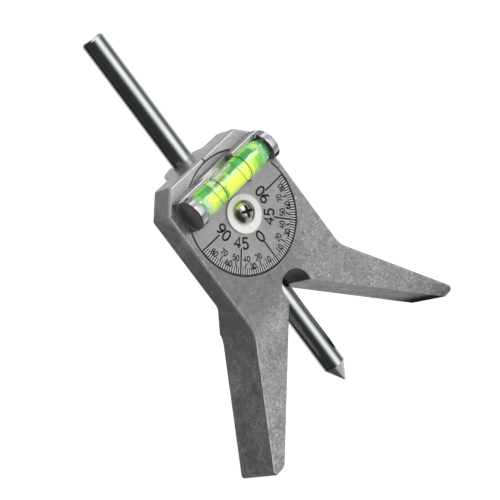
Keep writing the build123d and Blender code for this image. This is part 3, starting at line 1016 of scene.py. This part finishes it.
class FINDER_OT_stage(bpy.types.Operator):
    """Sets the pale floor, the soft lights, the surround that polished metal shows, and the camera"""

    bl_idname = "finder.stage"
    bl_label = "Stage"

    def execute(self, context):
        scene = context.scene
        scene.view_settings.view_transform = "Standard"
        self.floor(scene)
        self.dark_card()
        self.surround(scene)
        self.lamp(scene, "key_light", (0.42, -0.75, 0.75), 0.5, 7.0)
        self.lamp(scene, "fill_light", (-0.9, -0.5, 0.6), 0.8, 2.5)
        self.camera(scene)
        return {"FINISHED"}

    def sheet(self, name, x_range, y_range, height, paint):
        """A flat rectangle."""
        (left, right), (front, back) = x_range, y_range
        corners = ((left, front), (right, front), (right, back), (left, back))
        bm = bmesh.new()
        bm.faces.new([bm.verts.new((x, y, height)) for x, y in corners])
        return finish_mesh(name, bm, paint)

    def floor(self, scene):
        """A floor that the camera sees white, and that gives soft light from below."""
        side = scene.finder_sizes.floor_size / 2
        paint = bpy.data.materials.new("white_floor")
        paint.use_nodes = True
        n = Nodes(paint.node_tree)
        n.tree.nodes.clear()
        glow = n.add("ShaderNodeEmission", Strength=1.12).outputs[0]
        matt = n.add("ShaderNodeBsdfDiffuse", Color=neutral(0.9)).outputs[0]
        seen = n.times(n.add("ShaderNodeLightPath").outputs["Is Camera Ray"], 0.88)
        mix = n.add("ShaderNodeMixShader", Fac=seen)
        n.feed(mix.inputs[1], matt)
        n.feed(mix.inputs[2], glow)
        n.add("ShaderNodeOutputMaterial", Surface=mix.outputs[0])
        floor = self.sheet("floor", (-side, side), (-side, side), 0, paint)
        floor.visible_glossy = False

    def surround(self, scene):
        """White to the camera, and a studio of bright and dark sides to polished metal."""
        world = bpy.data.worlds.new("studio")
        world.use_nodes = True
        scene.world = world
        n = Nodes(world.node_tree)

        def ramp(factor, *stops):
            """A level for each factor from 0 to 1, straight between its stops."""
            made = n.add("ShaderNodeValToRGB", Fac=factor)
            band = made.color_ramp.elements
            while len(band) < len(stops):
                band.new(0.5)
            for element, (place, _) in zip(band, stops):
                element.position = place
            for element, (_, level) in zip(band, stops):
                element.color = neutral(level) + (1,)
            return made.outputs["Color"]

        def to_share(value):
            """-1..1 as 0..1."""
            return n.math("ADD", n.times(value, 0.5), 0.5)

        way = n.add("ShaderNodeTexCoord").outputs["Generated"]
        east, north, high = n.axes(way)
        bearing = n.math("ARCTAN2", east, n.times(north, -1.0))
        turn = n.math("ADD", n.math("DIVIDE", bearing, 2 * math.pi), 0.5)
        sides = ((-180, 1.2), (-177, 0.6), (-157, 0.55), (-146, 0.5), (-142, 0.015), (-135, 0.01),
                 (-120, 0.03), (-100, 0.04), (-75, 0.03), (-35, 0.04), (-24, 0.09), (-12, 0.38), (0, 0.9),
                 (12, 1.2), (26, 1.1), (40, 0.5), (57, 0.1), (75, 0.18), (98, 0.55), (125, 1.1), (150, 1.2))
        level = ramp(turn, *(((angle + 180) / 360, level) for angle, level in sides))
        half_high, half_north = to_share(high), to_share(north)
        side_share = ramp(to_share(east), (0.0, 0.08), (0.35, 0.12), (0.45, 0.9), (0.5, 1.0))
        below = ramp(half_north, (0.0, 0.25), (0.2, 0.3), (0.5, 0.72), (0.8, 0.64), (1.0, 0.5))
        above = ramp(half_north, (0.25, 0.6), (0.36, 1.1), (0.43, 1.1), (0.49, 0.3), (1.0, 0.35))
        over_floor = ramp(half_high, (0.2, 0.0), (0.3, 1.0))
        overhead = ramp(half_high, (0.65, 0.0), (0.73, 1.0))
        level = n.blend(over_floor, n.times(below, side_share), level)
        level = n.blend(overhead, level, n.times(above, side_share))
        softbox = n.vectors("DOT_PRODUCT", way, (0.27, -0.84, 0.47))["Value"]
        level = n.math("ADD", level, ramp(softbox, (0.975, 0.0), (0.993, 2.2)))
        rays = n.add("ShaderNodeLightPath").outputs
        seen_through = n.most(rays["Is Camera Ray"], rays["Is Transmission Ray"])
        shown = n.blend(rays["Is Glossy Ray"], neutral(0.7), level)
        shown = n.blend(seen_through, shown, neutral(1.0))
        n.put(world.node_tree.nodes["Background"], Color=shown, Strength=1.0)

    def lamp(self, scene, name, spot, size, power):
        """A round lamp that looks at the tool and isn't mirrored in it."""
        data = bpy.data.lights.new(name, "AREA")
        data.shape = "DISK"
        data.size = size
        data.energy = power
        lamp = bpy.data.objects.new(name, data)
        lamp.location = spot
        lamp.rotation_euler = (Vector((0, 0, 0.08)) - Vector(spot)).to_track_quat("-Z", "Y").to_euler()
        lamp.visible_glossy = False
        scene.collection.objects.link(lamp)

    def dark_card(self):
        """A dark card on the floor, under the right foot and beyond it, seen only in reflections."""
        paint = Finish("dark_card").done(Base_Color=neutral(0.03), Roughness=1.0)
        card = self.sheet("dark_card", (0.047, 0.26), (-0.02, 0.06), 0.2 * MM, paint)
        card.visible_camera = card.visible_diffuse = card.visible_shadow = card.visible_transmission = False

    def camera(self, scene):
        """The photograph's view: 30 degrees round to the left, 14.5 up, and rolled."""
        bearing, height, roll = math.radians(-30.10), math.radians(14.46), math.radians(-36.63)
        distance, aim = 943 * MM, Vector((0, FACE_Y, 60 * MM))
        sensor, picture_pixels = 36.0, 500
        pixels_per_mm, pixels_left, pixels_up = 2.6183, 27.96, 9.98
        data = bpy.data.cameras.new("photo_camera")
        data.sensor_width = sensor
        data.lens = sensor * pixels_per_mm * distance / MM / picture_pixels
        data.shift_x = -pixels_left / picture_pixels
        data.shift_y = pixels_up / picture_pixels
        data.clip_start, data.clip_end = 0.05, 20
        camera = bpy.data.objects.new("photo_camera", data)
        aimed = Matrix.Translation(aim) @ Matrix.Rotation(bearing, 4, "Z")
        tipped = Matrix.Rotation(math.pi / 2 - height, 4, "X") @ Matrix.Rotation(roll, 4, "Z")
        camera.matrix_world = aimed @ tipped @ Matrix.Translation((0, 0, distance))
        scene.collection.objects.link(camera)
        scene.camera = camera


class FINDER_PT_panel(bpy.types.Panel):
    """Lists the steps that dress the center finder"""

    bl_idname = "FINDER_PT_panel"
    bl_label = "Center Finder"
    bl_space_type = "VIEW_3D"
    bl_region_type = "UI"
    bl_category = "Center Finder"

    def draw(self, context):
        column = self.layout.column()
        for step in STEPS:
            column.operator(step.bl_idname)
        for group in (context.scene.finder_sizes, context.scene.finder_look):
            box = self.layout.box()
            for name in type(group).__annotations__:
                box.prop(group, name)


STEPS = (FINDER_OT_head, FINDER_OT_punch, FINDER_OT_dial, FINDER_OT_vial, FINDER_OT_fixing, FINDER_OT_stage)
CLASSES = (FinderSizes, FinderLook) + STEPS + (FINDER_PT_panel,)


def register():
    for item in CLASSES:
        bpy.utils.register_class(item)
    bpy.types.Scene.finder_sizes = bpy.props.PointerProperty(type=FinderSizes)
    bpy.types.Scene.finder_look = bpy.props.PointerProperty(type=FinderLook)


def unregister():
    del bpy.types.Scene.finder_sizes
    del bpy.types.Scene.finder_look
    for item in reversed(CLASSES):
        bpy.utils.unregister_class(item)


def main():
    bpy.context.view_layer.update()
    register()
    bpy.ops.finder.head()
    bpy.ops.finder.punch()
    bpy.ops.finder.dial()
    bpy.ops.finder.vial()
    bpy.ops.finder.fixing()
    bpy.ops.finder.stage()


if __name__ == "__main__":
    main()
